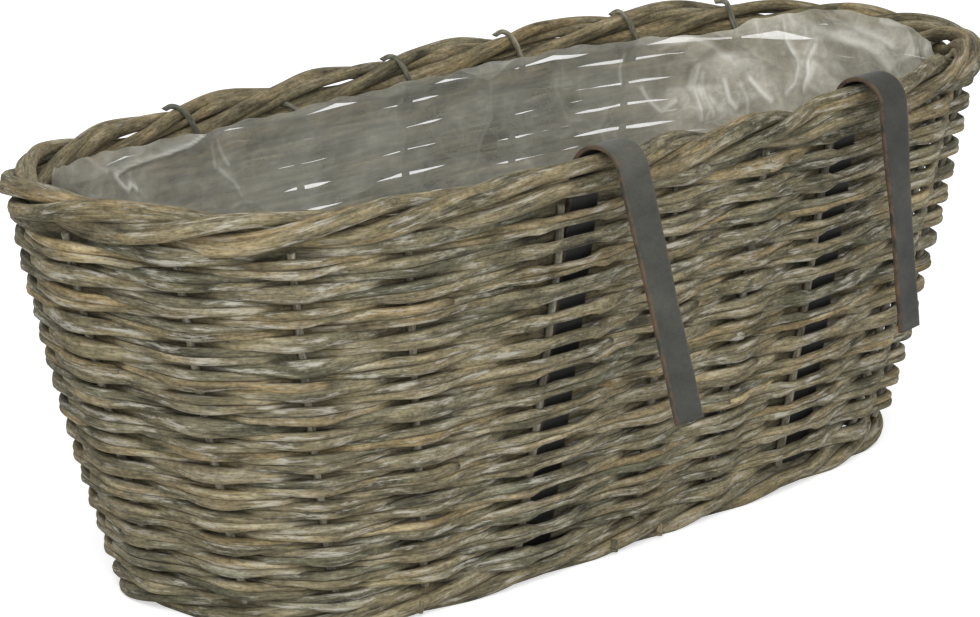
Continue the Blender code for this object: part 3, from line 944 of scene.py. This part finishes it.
def hook_line(x, lean):
    """The hook's middle line as y and z: up the wall, over the border and down outside it."""

    def front_y(height):
        return float(wall.spots(wall.front_share(x, height), height)[0][1])

    centre_z = HOOK_TOP - HOOK_THICKNESS / 2 - HOOK_BEND_RADIUS
    low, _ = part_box("hook_1")
    line = [(front_y(float(height)), float(height)) for height in np.linspace(low.z, RIM_HEIGHT, LEG_RINGS)]
    slope = math.atan2(line[-2][0] - line[-1][0], line[-1][1] - line[-2][1])
    top_y = line[-1][0] - (centre_z - RIM_HEIGHT) * math.tan(slope)
    centre_y = top_y - HOOK_BEND_RADIUS / math.cos(slope)
    for angle in np.linspace(slope, math.pi - lean, BEND_RINGS):
        line.append((centre_y + HOOK_BEND_RADIUS * math.cos(angle),
                     centre_z + HOOK_BEND_RADIUS * math.sin(angle)))
    start_y, start_z = line[-1]
    for part in np.linspace(0, 1, OUTER_RINGS)[1:]:
        height = start_z + (HOOK_LEG_END - start_z) * part
        line.append((start_y - (start_z - height) * math.tan(lean), height))
    return np.array(line)


def hook_section():
    """The bar's section with rounded corners, as shares of half its thickness and half its width."""
    quarter = np.linspace(0, math.pi / 2, SECTION_POINTS)
    round_depth = HOOK_CORNER / (HOOK_SHEET / 2)
    round_width = HOOK_CORNER / (HOOK_WIDTH / 2)
    corner = np.stack([1 - round_depth + round_depth * np.cos(quarter),
                       1 - round_width + round_width * np.sin(quarter)], 1)
    flat = np.stack([np.zeros(SECTION_POINTS), np.linspace(FLAT_SHARE, -FLAT_SHARE, SECTION_POINTS)], 1)
    far = corner * (-1, 1)
    face, back = flat + (1, 0), flat[::-1] - (1, 0)
    return np.concatenate([corner, far[::-1], back[::-1], far * (1, -1), corner[::-1] * (1, -1), face[::-1]])


def make_hooks():
    """The two flat hooks; their outer legs are a little twisted."""
    shape = hook_section()
    bend_end = LEG_RINGS + BEND_RINGS - 1
    for number, (place, lean, twist) in enumerate(zip(HOOK_PLACES, HOOK_LEANS, HOOK_TWISTS)):
        tone, painted_sheen = HOOK_TONES_AND_SHEENS[number]
        x = place + (HOOK_UNIT_WIDTH - HOOK_WIDTH) / 2
        line = joined(x, *hook_line(x, lean).T)
        walked = walked_along(line)
        outer = walked - walked[bend_end]
        turn = twist * eased(np.clip(outer / (HOOK_TWIST_REACH * outer[-1]), 0, 1))
        run = unit(np.gradient(line, axis=0))
        lead = np.cross(np.stack([np.cos(turn), np.sin(turn), np.zeros(len(turn))], 1), run)
        line[:, 1] += wander(walked, *HOOK_BENDS)
        half_width = HOOK_WIDTH / 2 + wander(walked, *HOOK_WIDTH_BENDS)
        bundle = Bundle()
        bundle.sweep(line, lead, HOOK_SHEET / 2, half_width, shape=shape)
        bundle.proud[-1] = np.tile(np.abs(shape[:, 1]) ** RUST_POWER, len(line))
        # Painted light: a painted sheen on the bend's top, and painted shade on the inner leg and first bend
        # rings
        painted_light_tones = tone + painted_sheen * np.exp(-((walked - walked[LEG_RINGS + SHEEN_RING]) / SHEEN_SPREAD) ** 2)
        painted_light_tones[:LEG_RINGS + SHADED_RINGS + 1] = 0
        bundle.tone[-1] = np.repeat(painted_light_tones, len(shape))
        bundle.build(f"steel_hook_{number + 1}", "dark_steel", f"hook_{number + 1}")


# Base

def make_base():
    """The floor: sticks across it, and rods that run back and forth over and under them."""
    offset = BASE_STICK_RADIUS + BASE_ROD_RADIUS + BASE_SLACK
    height = offset + BASE_ROD_RADIUS + SEAT
    line_x, line_y = wall.plan_line(height)[:2]
    half_length = line_x.max() - FOOT_RADIUS - SEAT
    half_width = line_y.max() - FOOT_RADIUS - SEAT
    middle_x, middle_y = PLAN_MIDDLE

    def floor_width(x):
        left_over = 1 - min(x / half_length, 1) ** FOOT_SQUARENESS
        return half_width * left_over ** (1 / FOOT_SQUARENESS)

    sticks = (np.arange(BASE_STICK_COUNT) - (BASE_STICK_COUNT - 1) / 2) * BASE_STICK_SPACING
    for number, x in enumerate(sticks):
        end = floor_width(abs(x) + BASE_STICK_RADIUS)
        y = np.linspace(-end, end, BASE_STICK_RINGS)
        line = joined(x + middle_x, y + middle_y, height)
        bundle = Bundle()
        girth = BASE_STICK_RADIUS + wander(y, *BASE_STICK_BENDS)
        bundle.sweep(line, UP, girth, girth, proud=0.4)
        bundle.build(f"floor_stick_{number + 1}", "stake_willow", f"base_stick_{number + 1}")

    turn = BASE_TURN_REACH + BASE_ROD_RADIUS
    long_half = floor_width(sticks[-1] + turn) - BASE_ROD_RADIUS
    whole_half = floor_width(sticks[-2] + turn) - BASE_ROD_RADIUS
    pitch = 2 * BASE_ROD_RADIUS + BASE_ROW_GAP
    long_rows = np.linspace(-long_half, long_half, int(2 * long_half / pitch) + 1)
    short_rows = np.linspace(long_half, whole_half, int((whole_half - long_half) / pitch) + 1)[1:]
    groups = [(-short_rows[::-1], sticks[1:-1])]
    groups += [(rows, sticks) for rows in np.array_split(long_rows, BASE_LONG_RODS)]
    groups += [(short_rows, sticks[1:-1])]
    row = 0
    for number, (rows, passed) in enumerate(groups):
        bundle = Bundle()
        points = []
        for y in rows:
            reach = passed[-1] + BASE_TURN_REACH
            x = np.linspace(-reach, reach, BASE_ROD_RINGS)
            side = (-1) ** row * np.cos(math.pi * (x - sticks[0]) / BASE_STICK_SPACING)
            strip = joined(x + middle_x, y + middle_y, height + offset * side)
            points.append(strip[::-1] if row % 2 else strip)
            row += 1
        line = smoothed(np.concatenate(points), 2)
        girth = BASE_ROD_RADIUS * (1 + wander(walked_along(line), *BASE_ROD_BENDS))
        bundle.sweep(line, UP, girth, girth)
        bundle.build(f"floor_rods_{number + 1}", "base_willow", f"base_rod_{number + 1}")


# Film

def round_table(table, share):
    """A table of (share, value) in thousandths, read round the wall, smoothly from its end to its start."""
    places, values = np.array(table).T / 1000
    read = np.interp(share % 1, np.append(places, places[0] + 1), np.append(values, values[0]))
    padded = np.concatenate([read[-TABLE_REACH:], read, read[:TABLE_REACH]])
    window = np.hanning(2 * TABLE_REACH + 1)
    return np.convolve(padded, window / window.sum(), "valid")


def crumple(share, height, fewest, most, sets, steepness):
    """Sharp folds in many directions, closed round the wall, as heights over the flat film."""
    total = np.zeros(np.broadcast(share, height).shape)
    for cycles in np.round(np.geomspace(fewest, most, sets) * rng.uniform(*CRUMPLE_SPREAD, sets)):
        lean = math.tan(rng.uniform(-CRUMPLE_LEAN, CRUMPLE_LEAN))
        phase = cycles * share + cycles / CRUMPLE_GIRTH * lean * height + rng.uniform(0, 1)
        for size, count, rise in CRUMPLE_BENDS:
            phase = phase + size * np.sin(math.tau * (count * share + height / rise + rng.uniform(0, 1)))
        wave = np.abs((phase % 1) * 2 - 1)
        turns = rng.integers(*CRUMPLE_FADES) * share + height / CRUMPLE_FADE_HEIGHT + rng.uniform(0, 1)
        total += CRUMPLE_GIRTH / cycles * steepness * wave * (0.5 + 0.5 * np.sin(math.tau * turns))
    return total


def fold_marks(share, height):
    """How close each spot of the film is to one of its sharp folds, from 0 to the fold's strength."""
    marks = np.zeros(share.shape)
    for strength, width, points in FILM_FOLDS:
        points = np.array(points) / 1000
        for (share_1, height_1), (share_2, height_2) in zip(points, points[1:]):
            run_x, run_z = (share_2 - share_1) * FOLD_GIRTH, height_2 - height_1
            x, z = ((share - share_1 + 0.5) % 1 - 0.5) * FOLD_GIRTH, height - height_1
            along = np.clip((x * run_x + z * run_z) / (run_x ** 2 + run_z ** 2), 0, 1)
            beside = np.hypot(x - along * run_x, z - along * run_z)
            marks = np.maximum(marks, strength * np.exp(-(beside * 1000 / width) ** 2))
    return marks


def film_creases(folds, loose):
    """How strongly a painted highlight whitens the film where its surface turns sharply."""
    turned = sum(np.gradient(np.gradient(folds, axis=axis), axis=axis) for axis in (1, 0))
    crease = np.clip(np.abs(turned) / CREASE_TURN - CREASE_START, 0, CREASE_PEAK)
    crease = (np.roll(crease, 1, 1) + 2 * crease + np.roll(crease, -1, 1)) / 4
    return np.clip(smoothed(crease, 1) * CREASE_GAIN, 0, CREASE_HIGHLIGHT_MOST) * at_least(TAUT_CREASE_HIGHLIGHT, loose)


def film_under(share, folds, low):
    """Rings of the film from the middle of the base out to its edge, and up round its lower bend."""
    rings = []
    for angle in np.linspace(math.pi / 2, 0, FILM_BEND_RINGS + 1)[1:]:
        level = low + FILM_FOOT_RADIUS * (1 - math.sin(angle))
        tucked = FILM_FOOT_RADIUS * (1 - math.cos(angle))
        spot, out = wall.spots(share, np.full(FILM_STEPS, level))
        rings.append(spot - out * (FILM_GAP + BEND_FOLDS * folds * math.sin(angle) + tucked)[:, None])
    edge = rings[-1]
    middle = np.array((*PLAN_MIDDLE, low))
    for part in np.linspace(0, 1, FILM_FLOOR_RINGS + 1)[1:]:
        ring = middle + (edge - middle) * (1 - FLOOR_REACH * part)
        x, y = ring[:, 0], ring[:, 1]
        waves = np.sin(x * 90 + 3 * np.sin(y * 60)) * np.sin(y * 75 + 2 * np.sin(x * 40))
        ring[:, 2] = low + FLOOR_RISE * part ** FLOOR_POWER * np.abs(waves)
        rings.append(ring)
    return np.array(rings)[::-1]


def make_film():
    """The loose film bag: it lies on the base, hangs in folds against the weave and ends at the border."""
    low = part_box("liner")[0].z + FILM_LIFT
    share = np.arange(FILM_STEPS) / FILM_STEPS
    hem = round_table(FILM_HEM, share)
    for size, count in HEM_WAVES:
        hem = hem + size * np.sin(math.tau * (count * share))
    loose = round_table(FILM_LOOSE, share)
    foot = low + FILM_FOOT_RADIUS
    climbed = np.linspace(0, 1, FILM_LEVELS)[:, None]
    height = foot + (hem - foot) * climbed
    across = np.broadcast_to(share, height.shape)
    big = crumple(across, height, *BIG_CRUMPLES)
    small = crumple(across, height, *SMALL_CRUMPLES)
    folds = big * at_least(TAUT_BIG, loose) + small * (TAUT_SMALL + LOOSE_SMALL * loose)
    folds = folds * at_least(LOW_FOLDS, climbed)
    marks = fold_marks(across, height)
    folds = folds + FOLD_RISE * np.sqrt(marks)
    gap = FILM_GAP + (FILM_RIM_GAP - FILM_GAP) * np.clip((height - GAP_START) / GAP_RISE, 0, 1) ** 2
    place, outward = wall.spots(across, height)
    sheet = place - outward * (gap + folds)[..., None]
    # Painted highlights where the surface turns sharply and along the listed folds
    crease = np.maximum(film_creases(folds, loose), marks)
    haze = np.clip(loose + HAZE_GAIN * (crumple(across, height, *HAZE_CRUMPLES) - HAZE_START), 0, 1)

    under = film_under(share, folds[0], low)
    places = np.concatenate([under, sheet]).reshape(-1, 3)
    crease = np.concatenate([np.full(under.shape[:2], UNDER_CREASE_HIGHLIGHT), crease]).ravel()
    haze = np.concatenate([np.full(under.shape[:2], UNDER_HAZE), haze]).ravel()
    index = np.arange(len(places)).reshape(-1, FILM_STEPS)
    faces = ring_quads(index[:-1], index[1:]) + [index[0][::-1].tolist()]
    mesh = new_mesh("film_bag", places, faces, bark=places, crease=crease, haze=haze)
    mesh.shade_smooth()
    piece = settle("film_bag", mesh, "clear_film", "liner")


# Finishes

def willow_finish(name, dark, middle, warm, pale, scuff):
    """Weathered willow bark: patches, fibres along the rod, pale scuffs, and painted shade on recessed rods
    with a little painted light on outward faces.
    """
    finish, tree, shader = new_finish(name)
    patches = streaks(tree, 34, 170, 5.0, 0.65)
    fibres = streaks(tree, 110, 1500, 5.0, 0.7)
    stains = streaks(tree, 11, 30, 4.0, 0.6)
    flecks = streaks(tree, 420, 900, 3.0, 0.6)
    ribs = streaks(tree, 26, 460, 3.0, 0.55)
    wear = streaks(tree, 50, 380, 6.0, 0.75)
    tone, proud = attribute(tree, "tone"), attribute(tree, "proud")
    colour = ramp(patches, (0.32, dark), (0.44, middle), (0.55, warm), (0.68, pale))
    colour = tinted(colour, 1.0, tone, (0.0, (0.74, 0.77, 0.76)), (0.3, (0.96, 0.96, 0.90)),
                    (0.6, (1.0, 1.0, 0.98)), (0.85, (1.18, 1.06, 0.86)), (1.0, (1.08, 1.11, 1.11)))
    colour = tinted(colour, 0.85, stains, (0.36, (0.50, 0.55, 0.53)), (0.47, (0.98, 0.97, 0.94)),
                    (0.60, (1.12, 1.06, 0.94)))
    colour = tinted(colour, 0.8, ribs, (0.36, 0.70), (0.5, 1.0), (0.64, 1.26))
    colour = tinted(colour, 0.85, fibres, (0.32, 0.40), (0.5, 1.0), (0.72, 1.45))
    colour = tinted(colour, 0.6, flecks, (0.34, 0.45), (0.48, 1.0), (0.68, 1.35))
    # Painted shade and light: recessed rods and inward faces a little darker, proud outward faces a little
    # paler
    colour = tinted(colour, 1.0, proud, (0.1, 0.98), (0.5, 1.0), (0.9, 1.04))
    worn = maths("MULTIPLY", ramp(wear, (0.53, 0.0), (0.64, 1.0)), ramp(proud, (0.45, 0.0), (0.85, 0.85)))
    relief = bumps(fibres, 0.0004, 0.7, bumps(patches, 0.0008, 0.5))
    feed(shader, ("Base Color", mix_colours(worn, colour, scuff)),
         ("Roughness", ramp(fibres, (0.3, 0.95), (0.7, 0.76))),
         ("Specular IOR Level", 0.22), ("Normal", relief))
    return finish


def steel_finish():
    """Dull dark steel: blotches, fine pits, brown rust along the edges, and painted shade and sheen from the
    tone mark.
    """
    finish, tree, shader = new_finish("dull_dark_steel")
    blotches = streaks(tree, 60, 60, 4.0, 0.6)
    pits = streaks(tree, 900, 900, 3.0, 0.6)
    wear = streaks(tree, 120, 35, 5.0, 0.7)
    colour = ramp(blotches, (0.32, (0.020, 0.0205, 0.016)), (0.55, (0.029, 0.0295, 0.023)),
                  (0.72, (0.037, 0.037, 0.029)))
    colour = tinted(colour, 0.5, pits, (0.35, 0.72), (0.6, 1.12))
    # Painted light: low values are painted shade on the inner leg, high ones a painted sheen on the bend's
    # top
    colour = tinted(colour, 1.0, attribute(tree, "tone"), (0.0, 0.24), (0.6, 1.05), (1.0, 2.3))
    rusty = maths("MULTIPLY", ramp(attribute(tree, "proud"), (0.25, 0.0), (0.9, 1.0)),
                  ramp(wear, (0.40, 0.0), (0.56, 0.85)))
    relief = bumps(pits, 0.00015, 0.6, bumps(blotches, 0.0006, 0.35))
    feed(shader, ("Base Color", mix_colours(rusty, colour, (0.105, 0.067, 0.038))),
         ("Roughness", ramp(blotches, (0.3, 0.62), (0.7, 0.48))),
         ("Specular IOR Level", 0.25), ("Normal", relief))
    return finish


def facets(tree, cells):
    """Angular cells on the film: how far each spot is from a cell's edge, and a grey per cell for painted
    facet shading.
    """
    spots = stretched(tree, (0.7 * cells, cells, cells))
    warp = add_node(tree, "TexNoise", ("Vector", spots), ("Scale", 1.1), ("Detail", 2.0))
    bent = add_node(tree, "VectorMath", (0, warp.outputs["Color"]), (1, (1.1, 1.1, 1.1)), (2, spots),
                    operation="MULTIPLY_ADD")
    edge, cell = [add_node(tree, "TexVoronoi", ("Vector", bent), ("Scale", 1.0), feature=feature)
                  for feature in ("DISTANCE_TO_EDGE", "F1")]
    return edge.outputs["Distance"], cell.outputs["Color"]


def film_finish():
    """Clear film that is hazy where it is loose, with painted highlights along its creases and painted
    shading on its facets.
    """
    finish, tree, shader = new_finish("clear_film_creased")
    haze = attribute(tree, "haze")
    large, painted_light_tones = facets(tree, 20)
    small = facets(tree, 55)[0]
    cloud = streaks(tree, 40, 40, 4.0, 0.6)
    scratches = streaks(tree, 30, 420, 5.0, 0.65)
    # Painted highlights: pale lines along the cells' edges and along the creases, where the film is also less
    # clear
    lines = mix_colours(1.0, ramp(large, (0.0, 0.50), (0.045, 0.0)),
                        ramp(small, (0.0, 0.35), (0.06, 0.0)), "LIGHTEN")
    lines = tinted(lines, 1.0, streaks(tree, 22, 22, 3.0, 0.6), (0.46, 0.0), (0.62, 1.0))
    lines = tinted(lines, 1.0, haze, (0.1, 0.25), (0.8, 1.0))
    crease = mix_colours(1.0, lines, attribute(tree, "crease"), "LIGHTEN")
    colour = ramp(haze, (0.0, (0.375, 0.372, 0.320)), (1.0, (0.545, 0.52, 0.425)))
    colour = mix_colours(crease, colour, (0.80, 0.79, 0.72))
    colour = tinted(colour, 0.5, cloud, (0.35, 0.80), (0.65, 1.12))
    # Painted shading: each facet a little lighter or darker, as if turned to or from the light
    colour = tinted(colour, 0.7, painted_light_tones, (0.2, 0.84), (0.8, 1.10))
    dim = ramp(haze, (0.0, 0.50), (0.45, 0.56), (1.0, 0.68))
    cloudy = tinted(dim, 1.0, cloud, (0.35, 0.86), (0.7, 1.15))
    scratched = tinted(cloudy, 0.35, scratches, (0.4, 0.8), (0.72, 1.5))
    angular = bumps(large, 0.006, 0.5, bumps(cloud, 0.0025, 0.35))
    feed(shader, ("Base Color", colour),
         ("Alpha", mix_colours(crease, scratched, (0.93, 0.93, 0.93))), ("Roughness", 0.28),
         ("Specular IOR Level", 0.5), ("Normal", bumps(scratches, 0.0004, 0.5, angular)))
    return finish


def make_planter():
    """Every piece of the planter with its finish."""
    finishes.update({slot: willow_finish(*look) for slot, look in WILLOWS.items()})
    finishes.update(dark_steel=steel_finish(), clear_film=film_finish())
    for make in (make_weave, make_border, make_foot, make_stakes, make_hooks, make_base, make_film):
        make()


def main():
    """The studio and the planter."""
    camera_place = make_camera()
    make_world()
    make_floor()
    for start, lamps in ((camera_place, CAMERA_LAMPS), (Vector((0, 0, 0)), ROOM_LAMPS)):
        for name, place, size, watts in lamps:
            area_light(name, start + Vector(place), size, watts)
    bpy.context.scene.view_settings.view_transform = "Standard"
    make_planter()


main()
